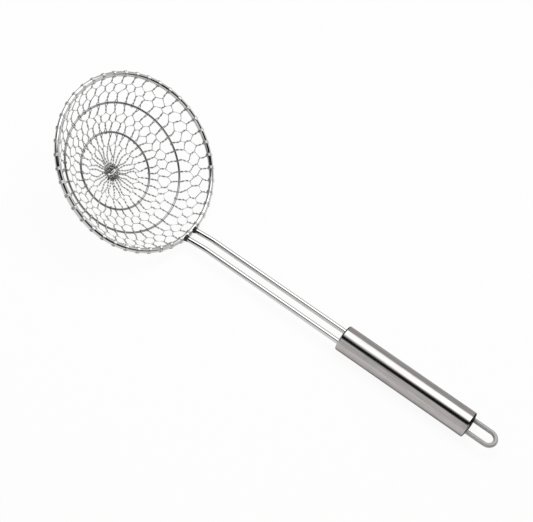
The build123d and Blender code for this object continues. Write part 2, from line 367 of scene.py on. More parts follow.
def tube_shape(paths, reference, radius, sides, closed=False):
    """Vertices and faces of round wires along paths of shape (wires, points, 3).

    At each point n is the reference direction made square to the path and b = path x n.
    A vertex is the point plus radius * (cos(a) n + sin(a) b), for a going round the wire.
    """
    wires, count = paths.shape[:2]
    if closed:
        along = np.roll(paths, -1, axis=1) - np.roll(paths, 1, axis=1)
    else:
        along = np.gradient(paths, axis=1)
    along = unit(along)
    reference = np.broadcast_to(reference, paths.shape)
    normal = unit(reference - along * np.sum(reference * along, -1, keepdims=True))
    binormal = np.cross(along, normal)
    angle = np.arange(sides) * 2 * np.pi / sides
    spread = np.broadcast_to(radius, (wires, count))[..., None, None]
    ring = (np.cos(angle)[:, None] * normal[:, :, None]
            + np.sin(angle)[:, None] * binormal[:, :, None])
    vertices = paths[:, :, None] + spread * ring
    one = grid_faces(count, sides, closed, True)
    offsets = (np.arange(wires) * count * sides)[:, None]
    faces = (one[None] + offsets[..., None]).reshape(-1, 4).tolist()
    if not closed:
        start = np.arange(sides)[::-1][None] + offsets
        end = (count - 1) * sides + np.arange(sides)[None] + offsets
        faces += start.tolist() + end.tolist()
    return vertices.reshape(-1, 3), faces


def turned_shape(profile, middle, steps):
    """Vertices and faces of a closed profile of (x, radius) pairs, turned round a line along X.

    A vertex is (x, radius * cos(a), radius * sin(a)) from the middle, for a going all round.
    """
    x, radius = (values[:, None] for values in np.array(profile).T)
    angle = np.arange(steps) * 2 * np.pi / steps
    grid = np.stack(np.broadcast_arrays(x, radius * np.cos(angle), radius * np.sin(angle)), -1)
    return (grid + middle).reshape(-1, 3), grid_faces(len(x), steps, True, True).tolist()


def make_piece(name, shapes, slot, replaced, merge=False, sharp=None, finish=None):
    """One mesh object from several shapes, with its material, its body and the nodes it stands for.

    A shape is vertices, faces and, on net wires, how dark each vertex is: painted shade on the
    net's twists and the rim wraps, and bands of darker tone on the tangle. merge joins vertices at
    one place and turns the faces outwards. Edges that bend by more than sharp stay sharp.
    """
    vertices, faces, dark, base = [], [], [], 0
    for points, corners, *marks in shapes:
        vertices.append(points)
        dark.append(marks[0] if marks else np.zeros(len(points)))
        faces += [[corner + base for corner in face] for face in corners]
        base += len(points)
    dark = np.concatenate(dark)
    mesh = bpy.data.meshes.new(name)
    mesh.from_pydata(np.concatenate(vertices), [], faces)
    if merge:
        build = bmesh.new()
        build.from_mesh(mesh)
        bmesh.ops.remove_doubles(build, verts=build.verts, dist=MERGE_DISTANCE)
        bmesh.ops.recalc_face_normals(build, faces=build.faces)
        build.to_mesh(mesh)
        build.free()
    if dark.any():
        values = mesh.attributes.new("dark", "FLOAT", "POINT").data
        values.foreach_set("value", dark.astype(np.float32))
    mesh.polygons.foreach_set("use_smooth", np.ones(len(mesh.polygons), bool))
    if sharp:
        mesh.set_sharp_from_angle(angle=sharp)
    mesh.update()
    piece = bpy.data.objects.new(name, mesh)
    bpy.context.scene.collection.objects.link(piece)
    piece.data.materials.append(bpy.data.materials[f"{finish or slot}_finish"])
    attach(piece, "root")
    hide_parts(*replaced)
    return piece


def smoothed(paths):
    """Paths with their corners eased: each inner point moves to a quarter, half, quarter mean."""
    for _ in range(SMOOTHING_PASSES):
        inner = (paths[:, :-2] + 2 * paths[:, 1:-1] + paths[:, 2:]) / 4
        paths = np.concatenate((paths[:, :1], inner, paths[:, -1:]), axis=1)
    return paths


def stations(tables, counts):
    """Tables of values at a wire's bends, filled in evenly between them."""
    starts = [np.linspace(index, index + 1, count, endpoint=False)
              for index, count in enumerate(counts)]
    where = np.append(np.concatenate(starts), len(counts))
    return [np.interp(where, np.arange(len(table)), table) for table in tables]


def stray(arc, turn, low, high, amount, seed):
    """A smooth wander over the bowl that dies out at both edges of a zone.

    It is a sum of sin(waves * turn + climb * arc + phase), where each number of waves has its own
    climb and phase, times sin(pi * s) to a power, for s from 0 to 1 across the zone.
    """
    rng = np.random.default_rng(seed)
    total = np.zeros(np.broadcast(arc, turn).shape)
    for waves in STRAY_WAVES:
        phase, climb = rng.uniform(0, 2 * np.pi), rng.uniform(-1, 1) * 2 * np.pi / STRAY_LENGTH
        total = total + np.sin(waves * turn + climb * arc + phase)
    edge = np.sin(np.pi * np.clip((arc - low) / (high - low), 0, 1)) ** STRAY_END_POWER
    return amount * edge * total / STRAY_SPREAD


class Zone:
    """One zone of the net between two rings, and the rows of twists across it."""

    def __init__(self, bowl, net, low, high, seed):
        self.bowl, self.net = bowl, net
        self.low, self.high, self.seed = low, high, seed
        self.half_pair = net.wire / 2 + net.gap / 4

    def wires(self, arc, turn, zig, phase, side, ring_out, close=0.0):
        """Paths of wires, and the way round the bowl at each point.

        side is +1 or -1 for the two wires of a pair. zig goes from 0 to 1 as a wire goes over to
        the next column, where it lies on the pair's other side. In a row it circles the pair's
        middle line: across = half pair * cos(a) and out = half pair * sin(a), where a is the phase
        in turns. close brings both wires over the middle line as it goes from 0 to 1.
        """
        amount = self.net.unevenness
        radius = self.bowl.radius * np.sin(arc / self.bowl.radius)
        sway = stray(arc, turn, self.low, self.high, amount, self.seed)
        turn = turn + sway / np.maximum(radius, self.net.steady_radius)
        arc = arc + stray(arc, turn, self.low, self.high, amount, self.seed + 1)
        lies = side * (1 - 2 * zig)
        across = lies * self.half_pair * np.cos(2 * np.pi * phase) * (1 - close)
        out = lies * self.half_pair * np.sin(2 * np.pi * phase) + ring_out
        return self.bowl.point(arc, turn, out, across)


def column_turns(columns, share=0.0):
    """Angles of evenly spaced columns all round the bowl."""
    count = columns * SECTORS
    return (np.arange(count) + share) * 2 * np.pi / count


def ring_turns(shares):
    """Angles at a ring, from each column's share of its sector."""
    sector = np.arange(SECTORS)[:, None] + np.array(shares)[None]
    return (sector * 2 * np.pi / SECTORS).reshape(-1)


def hook_stations(ring, offset):
    """A half circle round the inner side of a ring, from its outer to its inner face."""
    angle = np.linspace(np.pi / 2, -np.pi / 2, HOOK_POINTS + 2)[1:]
    return ring - offset * np.cos(angle), offset * np.sin(angle)


def twisted_wires(path_and_side, net, zig, phase, dashes):
    """The wires' shape along eased paths, and how dark it is at each vertex.

    With d for the dashes and a for the phase, the darkness is painted shade: the square of
    2 * zig - 1, times 0.7 * (1 - d) + d * cos(a) ** 4: none where the wires of a pair part, and
    most where they lie side by side in a twist, in place of the shade between them.
    """
    paths, sideways = path_and_side
    points, faces = tube_shape(smoothed(paths), sideways, net.wire / 2, net.sides)
    dashed = (TWIST_PAINTED_SHADE - TWIST_PAINTED_SHADE * dashes
              + dashes * np.cos(2 * np.pi * phase) ** 4)
    dark = np.abs(2 * zig - 1) ** 2 * dashed
    return points, faces, np.tile(np.repeat(dark, net.sides), len(paths))


class SKIMMER_OT_rings(bpy.types.Operator):
    """The rim and the three rings that hold the net, as closed wires"""

    bl_idname = "skimmer.rings"
    bl_label = "Rings"

    def execute(self, context):
        settings = context.scene.skimmer_bowl
        bowl = Bowl(settings)
        thin = settings.ring_wire
        rings = (
            ("rim_wire_ring", "rim_ring", bowl.rim_radius, settings.rim_wire, "polished_wire"),
            ("middle_wire_ring", "middle_ring", bowl.middle_radius, thin, "ring_wire"),
            ("inner_wire_ring", "inner_ring", bowl.inner_radius, thin, "ring_wire"),
            ("hub_wire_ring", "hub_ring", bowl.hub_radius, settings.hub_wire, "ring_wire"),
        )
        for name, node, radius, wire, slot in rings:
            turn = np.arange(RING_POINTS[node])[None] * 2 * np.pi / RING_POINTS[node]
            path, _ = bowl.point(bowl.arc(radius), turn)
            outward = path - path.mean(axis=1, keepdims=True)
            shape = tube_shape(path, outward, wire / 2, settings.ring_sides, closed=True)
            make_piece(name, [shape], slot, [node])
        return {"FINISHED"}


class SKIMMER_OT_net(bpy.types.Operator):
    """The net's three zones of wires, twisted in pairs row by row"""

    bl_idname = "skimmer.net"
    bl_label = "Net"

    def execute(self, context):
        settings, net = context.scene.skimmer_bowl, context.scene.skimmer_net
        bowl = Bowl(settings)
        self.ring_offset = settings.ring_wire / 2 + net.wire / 2 + net.gap
        self.hub_offset = settings.hub_wire / 2 + net.wire / 2 + net.gap
        zones = (("outer_net", self.outer), ("middle_net", self.middle), ("inner_net", self.inner))
        for name, build in zones:
            nodes = [f"{name}_sector_{sector + 1}" for sector in range(SECTORS)]
            make_piece(name, build(bowl, net), "net_wire", nodes)
        return {"FINISHED"}

    def outer(self, bowl, net):
        """From the rim to the middle ring, with some columns hooked round the ring."""
        ring = bowl.arc(bowl.middle_radius)
        start = bowl.arc(bowl.rim_radius) - bowl.settings.rim_wire / 2 - net.wire
        end = ring + OPENING_START * self.ring_offset
        rows = start + (end - start) * np.array(OUTER_ROWS_SHARE)
        tables = (
            [*rows, ring + OPENING_END * self.ring_offset, ring],
            [0, 0, 1, 1, 0, 0, 0, 0],
            [0, 0, 0, 0, 0, 1, 1, 1],
            np.array([0, 1, 1, 2, 2, 3, 3, 3]) * net.row_turns,
            [0, 0, 0, 0, 0, 0, 1, 1],
        )
        counts = (ROW_POINTS, GAP_POINTS, ROW_POINTS, GAP_POINTS, ROW_POINTS, CROSSING_POINTS,
                  RING_END_POINTS)
        arc, zig, shift, phase, over = stations(tables, counts)
        here = column_turns(OUTER_COLUMNS)[:, None]
        there = ring_turns(MIDDLE_RING_COLUMNS_SHARE)[:, None]
        step = np.pi / (OUTER_COLUMNS * SECTORS)
        hooked = np.arange(len(here)) % OUTER_COLUMNS == MIDDLE_RING_HOOK
        zone = Zone(bowl, net, ring, start, OUTER_SEED)
        turns = [here + side * step * zig + (there - here) * shift for side in (-1, 1)]
        return self.pairs(zone, ring, hooked, turns, arc, zig, phase, over)

    def middle(self, bowl, net):
        """From the middle ring to the inner ring, with some columns hooked round the ring."""
        outside, inside = bowl.arc(bowl.middle_radius), bowl.arc(bowl.inner_radius)
        start = outside - OPENING_START * self.ring_offset
        end = inside + OPENING_START * self.ring_offset
        rows = start + (end - start) * np.array(MIDDLE_ROWS_SHARE)
        tables = (
            [outside, outside - OPENING_END * self.ring_offset, *rows,
             inside + OPENING_END * self.ring_offset, inside],
            [0, 0, 0, 0, 1, 1, 0, 0, 0, 0],
            [1, 1, 1, 0, 0, 0, 0, 0, 0, 0],
            [0, 0, 0, 0, 0, 0, 0, 1, 1, 1],
            np.array([0, 0, 0, 1, 1, 2, 2, 3, 3, 3]) * net.row_turns,
            [1, 1, 0, 0, 0, 0, 0, 0, 1, 1],
        )
        counts = (RING_END_POINTS, CROSSING_POINTS, ROW_POINTS, GAP_POINTS, ROW_POINTS, GAP_POINTS,
                  ROW_POINTS, CROSSING_POINTS, RING_END_POINTS)
        arc, zig, near_out, near_in, phase, over = stations(tables, counts)
        here = column_turns(MIDDLE_COLUMNS)[:, None]
        through = [share for index, share in enumerate(MIDDLE_RING_COLUMNS_SHARE)
                   if index != MIDDLE_RING_HOOK]
        first = ring_turns(through)[:, None]
        last = ring_turns(INNER_RING_COLUMNS_SHARE)[:, None]
        step = np.pi / (MIDDLE_COLUMNS * SECTORS)
        hooked = np.arange(len(here)) % MIDDLE_COLUMNS == INNER_RING_HOOK
        zone = Zone(bowl, net, inside, outside, MIDDLE_SEED)
        turns = [here + side * step * zig + (first - here) * near_out + (last - here) * near_in
                 for side in (-1, 1)]
        return self.pairs(zone, inside, hooked, turns, arc, zig, phase, over)

    def pairs(self, zone, ring, hooked, turns, arc, zig, phase, over):
        """Shapes of a zone's wire pairs: those that pass the ring, and those hooked round it.

        turns are the angles of the wires on side -1 and on side +1, and over is how far each
        point stands off the middle line, in ring offsets.
        """
        net = zone.net
        hook_arc, hook_out = hook_stations(ring, self.ring_offset)
        longer = [np.append(values, np.full(len(hook_arc), values[-1])) for values in (zig, phase)]
        shapes = []
        for side, turn in zip((-1, 1), turns):
            out = side * over * self.ring_offset
            wires = zone.wires(arc, turn[~hooked], zig, phase, side, out)
            shapes.append(twisted_wires(wires, net, zig, phase, net.dashes))
            held = np.repeat(turn[hooked][:, -1:], len(hook_arc), 1)
            wires = zone.wires(np.append(arc, hook_arc), np.concatenate((turn[hooked], held), 1),
                               *longer, side, np.append(out, side * hook_out))
            shapes.append(twisted_wires(wires, net, *longer, net.dashes))
        return shapes

    def inner(self, bowl, net):
        """From the inner ring in along one column, round the hub ring and out along the next."""
        outside, inside = bowl.arc(bowl.inner_radius), bowl.arc(bowl.hub_radius)
        start = outside - OPENING_START * self.ring_offset
        end = inside + OPENING_START * self.hub_offset
        rows = start + (end - start) * np.array(INNER_ROWS_SHARE)
        row, both = net.row_turns, net.row_turns + net.hub_turns
        tables = (
            [outside, outside - OPENING_END * self.ring_offset, *rows,
             inside + OPENING_END * self.hub_offset, inside],
            [0, 0, 0, 0, 1, 1, 1, 1],
            [1, 1, 1, 0, 0, 0, 0, 0],
            [0, 0, 0, row, row, both, both, both],
            [1, 1, 0, 0, 0, 0, 0, 0],
            [0, 0, 0, 0, 0, 0, 1, 1],
            [0, 0, 0, 0, 0, 0, 1, 1],
        )
        counts = (RING_END_POINTS, CROSSING_POINTS, ROW_POINTS, GAP_POINTS,
                  ROW_POINTS * net.hub_turns, CROSSING_POINTS, RING_END_POINTS)
        arc, zig, near_out, phase, over, under, close = stations(tables, counts)
        here = column_turns(INNER_COLUMNS, 0.5)[:, None]
        at_ring = ring_turns(INNER_RING_COLUMNS_SHARE[1:])[:, None]
        step = np.pi / (INNER_COLUMNS * SECTORS)
        zone = Zone(bowl, net, inside, outside, INNER_SEED)
        halves = []
        for side in (1, -1):
            turn = here + side * step * zig + (at_ring - here) * near_out
            out = side * (over * self.ring_offset - under * self.hub_offset)
            halves.append(zone.wires(arc, turn, zig, phase, side, out, close))
        hook_arc, hook_out = hook_stations(inside, self.hub_offset)
        hook, hook_side = bowl.point(hook_arc[:-1], here + step, -hook_out[:-1])
        (there, there_side), (back, back_side) = halves
        back = np.roll(back, -1, axis=0)[:, ::-1]
        back_side = np.roll(back_side, -1, axis=0)[:, ::-1]
        path = np.concatenate((there, hook, back), axis=1)
        sideways = np.concatenate((there_side, hook_side, back_side), axis=1)
        there_and_back = [np.concatenate((values, np.full(hook.shape[1], values[-1]), values[::-1]))
                          for values in (zig, phase)]
        return [twisted_wires((path, sideways), net, *there_and_back, net.hub_dashes)]


class SKIMMER_OT_rim_wraps(bpy.types.Operator):
    """The short windings that tie the net to the rim, one for each outer column"""

    bl_idname = "skimmer.rim_wraps"
    bl_label = "Rim wraps"

    def execute(self, context):
        """Each wrap goes round the rim's wire by an angle a, while it moves along the rim.

        Its distance from the bowl's axis is rim radius + reach * cos(a), and its height
        reach * sin(a). It carries painted shade by cos(a) ** 4, so most at the rim's outer and
        inner side.
        """
        settings, net = context.scene.skimmer_bowl, context.scene.skimmer_net
        bowl = Bowl(settings)
        reach = settings.rim_wire / 2 + net.wire / 2
        columns = column_turns(OUTER_COLUMNS)[:, None]
        rng = np.random.default_rng(WRAPS_SEED)
        share = np.linspace(0, 1, WRAP_POINTS * net.wrap_turns + 1)[None]
        lean = bowl.arc(bowl.rim_radius) / bowl.radius
        angle = np.pi + lean + 2 * np.pi * net.wrap_turns * share
        slants = rng.uniform(-WRAP_SLANT, WRAP_SLANT, (len(columns), 1))
        width = net.wrap_turns * (net.wire * WRAP_PITCH)
        along = width * (share - 0.5) + slants * net.wire * np.cos(angle)
        turn = columns + along / bowl.rim_radius
        radius = bowl.rim_radius + reach * np.cos(angle)
        points = np.stack(np.broadcast_arrays(radius * np.cos(turn), radius * np.sin(turn),
                                              reach * np.sin(angle)), -1)
        around = np.stack(np.broadcast_arrays(-np.sin(turn), np.cos(turn), 0 * turn), -1)
        paths, reference = bowl.centre + bowl.placed(points), bowl.placed(around)
        # Painted shade: the wraps are darkened at the rim's outer and inner side
        dark = np.tile(np.repeat(np.cos(angle) ** 4, net.sides), len(columns))
        shape = (*tube_shape(paths, reference, net.wire / 2, net.sides), dark)
        make_piece("rim_wrap_wires", [shape], "net_wire", ["rim_wraps"])
        return {"FINISHED"}


class SKIMMER_OT_centre_knot(bpy.types.Operator):
    """The tangle of wire inside the hub ring, and the strand over it"""

    bl_idname = "skimmer.centre_knot"
    bl_label = "Centre knot"

    def execute(self, context):
        bowl, net = Bowl(context.scene.skimmer_bowl), context.scene.skimmer_net
        tangle = [self.tangle(bowl, net, side) for side in (-1, 1)]
        make_piece("centre_tangle", tangle, "net_wire", ["centre_knot"], finish="knot_wire")
        strand = [self.strand(bowl, net)]
        make_piece("centre_strand", strand, "net_wire", ["centre_knot"], finish="net_wire")
        return {"FINISHED"}

    def tangle(self, bowl, net, side):
        """One half of the tangle: loops whose width and height come and go, and its darkness.

        For an angle a going round, the share of the full width is
        0.62 + 0.38 * cos(1.382 a + side), the place below the net is
        1.5 * sin(0.618 a + side) + 0.4 * sin(2.2 a) in net wires, and the darkness is
        0.5 + 0.5 * sin(5.3 a + side).
        """
        angle = self.angles(net.knot_turns, KNOT_POINTS * net.knot_turns)
        spread = 0.62 + 0.38 * np.cos(1.382 * angle + side)
        along = side * net.knot_offset + TANGLE_REACH[0] * spread * np.cos(angle) - KNOT_SHIFT
        across = TANGLE_REACH[1] * spread * np.sin(angle)
        out = net.wire * (1.5 * np.sin(0.618 * angle + side) + 0.4 * np.sin(2.2 * angle))
        dark = np.repeat(0.5 + 0.5 * np.sin(5.3 * angle[0] + side), net.sides)
        return (*self.wire(bowl, net, along, across, out), dark)

    def strand(self, bowl, net):
        """A bright strand over the tangle.

        It is part of an oval, and lies 1.6 + 1.3 * cos(a) net wires above the net.
        """
        angle = self.angles(STRAND_TURNS, KNOT_POINTS)
        along = STRAND_REACH[0] * np.cos(angle) - KNOT_SHIFT
        across = STRAND_REACH[1] * np.sin(angle)
        return self.wire(bowl, net, along, across, -net.wire * (1.6 + 1.3 * np.cos(angle)))

    def angles(self, turns, points):
        """Angles along one wire of the knot."""
        return np.linspace(-KNOT_START, turns - KNOT_START, points)[None] * 2 * np.pi

    def wire(self, bowl, net, along, across, out):
        """A net wire through places along the handle and across it from the bowl's centre."""
        path, _ = bowl.point(np.hypot(along, across), np.arctan2(across, along), out)
        upright = np.broadcast_to(bowl.placed(np.array((0.0, 0.0, 1.0))), path.shape)
        return tube_shape(path, upright, net.wire / 2, net.sides)


class SKIMMER_OT_rods(bpy.types.Operator):
    """The two handle rods and the weld beads at their feet"""

    bl_idname = "skimmer.rods"
    bl_label = "Rods and welds"

    def execute(self, context):
        """A rod's line goes straight from the rim, round an arc, and straight into the handle."""
        settings, handle = context.scene.skimmer_bowl, context.scene.skimmer_handle
        bowl = Bowl(settings)
        half = handle.rod_spacing / 2
        reach = math.sqrt(bowl.rim_radius ** 2 - half ** 2)
        foot = bowl.centre + bowl.placed(np.array((reach, 0.0, 0.0)))
        _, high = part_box("left_rod")
        thick = size_of("left_rod").y
        height = high.z - thick / 2
        knee = np.array((foot[0] + handle.rod_rise_run, 0.0, height))
        start_way, end_way = unit(knee - foot), np.array((1.0, 0.0, 0.0))
        bend = math.acos(start_way @ end_way)
        cut = handle.rod_bend_radius * math.tan(bend / 2)
        angle = np.linspace(0, bend, ROD_BEND_POINTS)[:, None]
        inward = unit(end_way - start_way * math.cos(bend))
        bent = np.sin(angle) * start_way + (1 - np.cos(angle)) * inward
        arc = knee - start_way * cut + handle.rod_bend_radius * bent
        first = foot + start_way * settings.rim_wire / 4
        line = self.refined(np.concatenate(([first], arc, [[high.x, 0.0, height]])))
        for name, side in (("left", 1), ("right", -1)):
            path = (line + np.array((0.0, side * half, 0.0)))[None]
            shape = tube_shape(path, np.array((0.0, 1.0, 0.0)), thick / 2, ROUND_SIDES)
            make_piece(f"{name}_handle_rod", [shape], "polished_rod", [f"{name}_rod"],
                       sharp=SHARP_END)
            self.bead(name, side, first, start_way, thick / 2, handle)
        return {"FINISHED"}

    def refined(self, line):
        """The same line with points close together, so that the surface stays smooth."""
        travelled = np.append(0, np.cumsum(np.linalg.norm(np.diff(line, axis=0), axis=1)))
        extra = np.arange(0, travelled[-1], ROD_STEP)
        where = np.unique(np.append(travelled, extra))
        return np.stack([np.interp(where, travelled, line[:, axis]) for axis in range(3)], -1)

    def bead(self, name, side, first, way, rod_radius, handle):
        """A weld bead: a cone round the rod with ripples.

        At s from 0 to 1 along it and an angle a round it, the cone's radius is
        rod radius + leg * (1 - s) ** 1.4, and a ripple of half the lumps' height is the root of
        sin(pi s) times sin(3a + 5s + side) + 0.6 * sin(7a - 9s) + 0.5 * sin(16s + a).
        """
        along = np.linspace(0, 1, BEAD_ROWS)[:, None]
        angle = np.arange(BEAD_SIDES)[None] * 2 * np.pi / BEAD_SIDES
        cone = rod_radius + handle.weld_leg * (1 - along) ** 1.4
        ripple = (np.sin(3 * angle + 5 * along + side) + 0.6 * np.sin(7 * angle - 9 * along)
                  + 0.5 * np.sin(16 * along + angle))
        radius = cone + handle.weld_lumps * ripple * np.sin(np.pi * along) ** 0.5 * 0.5
        across = np.array((0.0, 1.0, 0.0))
        upward = np.cross(way, across)
        outward = np.cos(angle)[..., None] * across + np.sin(angle)[..., None] * upward
        foot = first + np.array((0.0, side * handle.rod_spacing / 2, 0.0))
        points = foot + way * (along * handle.weld_length)[..., None] + radius[..., None] * outward
        start = list(range(BEAD_SIDES))[::-1]
        end = list(range((BEAD_ROWS - 1) * BEAD_SIDES, BEAD_ROWS * BEAD_SIDES))
        faces = grid_faces(BEAD_ROWS, BEAD_SIDES, False, True).tolist() + [start, end]
        make_piece(f"{name}_weld_bead", [(points.reshape(-1, 3), faces)], "weld_bead",
                   [f"{name}_rod_weld"], merge=True)


class SKIMMER_OT_handle(bpy.types.Operator):
    """The handle tube and its two domed end caps"""

    bl_idname = "skimmer.handle"
    bl_label = "Handle tube and caps"

    def execute(self, context):
        handle = context.scene.skimmer_handle
        low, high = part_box("handle_tube")
        outside = size_of("handle_tube").y / 2
        inside = outside - handle.tube_wall
        middle = np.array((0.0, 0.0, low.z + outside))
        rows = np.linspace(low.x, high.x, TUBE_ROWS)
        profile = [(x, outside) for x in rows] + [(high.x, inside), (low.x, inside)]
        shape = turned_shape(profile, middle, handle.round_steps)
        make_piece("handle_tube_shell", [shape], "brushed_tube", ["handle_tube"],
                   merge=True, sharp=SHARP_SHEET)
        for name, end, way in (("front", low.x, -1), ("rear", high.x, 1)):
            shape = turned_shape(self.cap(end, way, outside, handle), middle, handle.round_steps)
            make_piece(f"{name}_domed_cap", [shape], "brushed_tube", [f"{name}_end_cap"],
                       merge=True, sharp=SHARP_END, finish="capped_end")
        return {"FINISHED"}

    def cap(self, end, way, outside, handle):
        """Half the outline of a cap: a crown that is part of a large circle, with a rounded edge.

        The crown's circle rises by the dome less the shoulder over the tube's radius, and the
        edge's circle touches both it and the tube's side from inside.
        """
        rise = handle.cap_dome - handle.cap_shoulder
        crown = (outside ** 2 + rise ** 2) / (2 * rise)
        edge = handle.cap_edge
        centre_r = outside - edge
        centre_x = handle.cap_dome - crown + math.sqrt((crown - edge) ** 2 - centre_r ** 2)
        turn_in = math.asin(centre_r / (crown - edge))
        points = [(0.0, outside)]
        for angle in np.linspace(math.pi / 2, turn_in, EDGE_ROWS):
            points.append((centre_x + edge * math.cos(angle), centre_r + edge * math.sin(angle)))
        for angle in np.linspace(turn_in, 0, CROWN_ROWS)[1:]:
            points.append((handle.cap_dome - crown + crown * math.cos(angle),
                           crown * math.sin(angle)))
        points.append((0.0, 0.0))
        return [(end + way * x, radius) for x, radius in points]


class SKIMMER_OT_hanging_loop(bpy.types.Operator):
    """The U of wire at the rear end"""

    bl_idname = "skimmer.hanging_loop"
    bl_label = "Hanging loop"

    def execute(self, context):
        """The loop's line is one arm, half a circle, and the other arm back."""
        handle = context.scene.skimmer_handle
        low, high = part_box("hanging_loop")
        wire = high.z - low.z
        half = handle.loop_spacing / 2
        height = (low.z + high.z) / 2
        bend = high.x - wire / 2 - half
        angle = np.linspace(np.pi / 2, -np.pi / 2, LOOP_BEND_POINTS)
        arm = np.linspace(low.x, bend, LOOP_ARM_POINTS)[:-1]
        aside = np.full(len(arm), half)
        x = np.concatenate((arm, bend + half * np.cos(angle), arm[::-1]))
        y = np.concatenate((aside, half * np.sin(angle), -aside))
        path = np.stack((x, y, np.full(len(x), height)), -1)[None]
        shape = tube_shape(path, np.array((0.0, 0.0, 1.0)), wire / 2, ROUND_SIDES)
        make_piece("hanging_loop_wire", [shape], "satin_loop", ["hanging_loop"], sharp=SHARP_END)
        return {"FINISHED"}


def group_with(name, inputs, outputs):
    """A new shader node group with named inputs and outputs."""
    group = bpy.data.node_groups.new(name, "ShaderNodeTree")
    for label, kind, value in inputs:
        socket = group.interface.new_socket(name=label, in_out="INPUT", socket_type=kind)
        if value is not None:
            socket.default_value = value
    for label, kind in outputs:
        group.interface.new_socket(name=label, in_out="OUTPUT", socket_type=kind)
    return group, group.nodes.new("NodeGroupInput"), group.nodes.new("NodeGroupOutput")


def add(tree, kind, **settings):
    """A new node with its own settings."""
    node = tree.nodes.new(kind)
    for name, value in settings.items():
        setattr(node, name, value)
    return node


def fed(node, *pairs):
    """Sets or links a node's inputs, given as (input, value or output) pairs."""
    tree = node.id_data
    for key, value in pairs:
        if isinstance(value, bpy.types.NodeSocket):
            tree.links.new(value, node.inputs[key])
        else:
            node.inputs[key].default_value = value
    return node


def sum_of(tree, operation, *values):
    """What a Math node puts out, given its operation and its inputs in order."""
    return fed(add(tree, "ShaderNodeMath", operation=operation), *enumerate(values)).outputs[0]


def blended(tree, share, first, second):
    """A number that goes from the first to the second as the share goes from 0 to 1."""
    mix = add(tree, "ShaderNodeMix", data_type="FLOAT")
    return fed(mix, (0, share), (2, first), (3, second)).outputs[0]


def scaled(tree, colour, share):
    """A colour times a number."""
    times = add(tree, "ShaderNodeVectorMath", operation="SCALE")
    return fed(times, (0, colour), ("Scale", share)).outputs[0]


def mask_near(tree, offset, squeeze, full, none):
    """A mask from the length of an offset, which is first squeezed along X, Y and Z.

    It is 1 up to the length full and 0 from the length none on, with a smooth step between them.
    """
    squeezed = fed(add(tree, "ShaderNodeVectorMath", operation="MULTIPLY"),
                   (0, offset), (1, squeeze))
    far = fed(add(tree, "ShaderNodeVectorMath", operation="LENGTH"), (0, squeezed.outputs[0]))
    step = add(tree, "ShaderNodeMapRange", interpolation_type="SMOOTHSTEP")
    fed(step, ("Value", far.outputs["Value"]), ("From Min", none), ("From Max", full))
    return step.outputs[0]


def steel_grain_group():
    """Drawn steel: long streaks and fine soil. It puts out a colour, a roughness and a height."""
    group, given, result = group_with(
        "steel_grain",
        (("Vector", "NodeSocketVector", None), ("Colour", "NodeSocketColor", None),
         ("Stretch", "NodeSocketVector", None), ("Roughness", "NodeSocketFloat", 0.1),
         ("Streaks", "NodeSocketFloat", 0.1), ("Soil", "NodeSocketFloat", 0.1)),
        (("Colour", "NodeSocketColor"), ("Roughness", "NodeSocketFloat"),
         ("Height", "NodeSocketFloat")),
    )
    stretched = fed(add(group, "ShaderNodeVectorMath", operation="MULTIPLY"),
                    (0, given.outputs["Vector"]), (1, given.outputs["Stretch"]))
    streaks = fed(add(group, "ShaderNodeTexNoise"), ("Vector", stretched.outputs[0]),
                  ("Scale", 1.0), ("Detail", 5.0), ("Roughness", 0.62))
    soil = fed(add(group, "ShaderNodeTexNoise"), ("Vector", given.outputs["Vector"]),
               ("Scale", 90.0), ("Detail", 4.0), ("Roughness", 0.6))
    marks = []
    for noise, low, high, amount in ((soil, 0.35, 0.75, "Soil"), (streaks, 0.3, 0.7, "Streaks")):
        stepped = fed(add(group, "ShaderNodeMapRange"), ("Value", noise.outputs["Fac"]),
                      ("From Min", low), ("From Max", high))
        marks.append(sum_of(group, "MULTIPLY", stepped.outputs[0], given.outputs[amount]))
    both = sum_of(group, "ADD", *marks)
    colour = scaled(group, given.outputs["Colour"], sum_of(group, "SUBTRACT", 1.0, both))
    rough = sum_of(group, "MULTIPLY_ADD", both, 0.2, given.outputs["Roughness"])
    fed(result, ("Colour", colour), ("Roughness", rough), ("Height", streaks.outputs["Fac"]))


def steel_material(name, colour, roughness, stretch, streaks, soil, bump,
                   metallic=1.0, edge=1.0, dark=None):
    """A steel finish from the grain group, with its streaks also felt as a small bump.

    edge is the share of the light that the steel keeps where it turns away from view.
    dark says what takes the colour down, and to what share of itself. It is the mesh's own "dark"
    values, which are painted shade on the net's twists and the rim wraps and darker bands on the
    tangle, or a stripe along the handle, given by how far from the handle's middle it is full and
    where it ends, which is painted shade between the loop's arms and between the rods.
    """
    material = bpy.data.materials.new(f"{name}_finish")
    material.use_nodes = True
    tree = material.node_tree
    shader = tree.nodes["Principled BSDF"]
    place = add(tree, "ShaderNodeTexCoord").outputs["Object"]
    grain = fed(add(tree, "ShaderNodeGroup", node_tree=bpy.data.node_groups["steel_grain"]),
                ("Vector", place), ("Colour", (*colour, 1.0)), ("Stretch", stretch),
                ("Roughness", roughness), ("Streaks", streaks), ("Soil", soil))
    relief = fed(add(tree, "ShaderNodeBump"), ("Height", grain.outputs["Height"]),
                 ("Strength", bump), ("Distance", RELIEF))
    shown = grain.outputs["Colour"]
    if dark:
        mark, share = dark
        if mark == "dark":
            where = add(tree, "ShaderNodeAttribute", attribute_name="dark").outputs["Fac"]
        else:
            # Painted shade: a dark stripe over the cap between the loop's arms and between the rods
            where = mask_near(tree, place, (0, 1, 0), *mark)
        shown = scaled(tree, shown, blended(tree, where, 1.0, share))
    fed(shader, ("Base Color", shown), ("Roughness", grain.outputs["Roughness"]),
        ("Metallic", metallic), ("Specular Tint", (edge, edge, edge, 1.0)),
        ("Normal", relief.outputs["Normal"]))


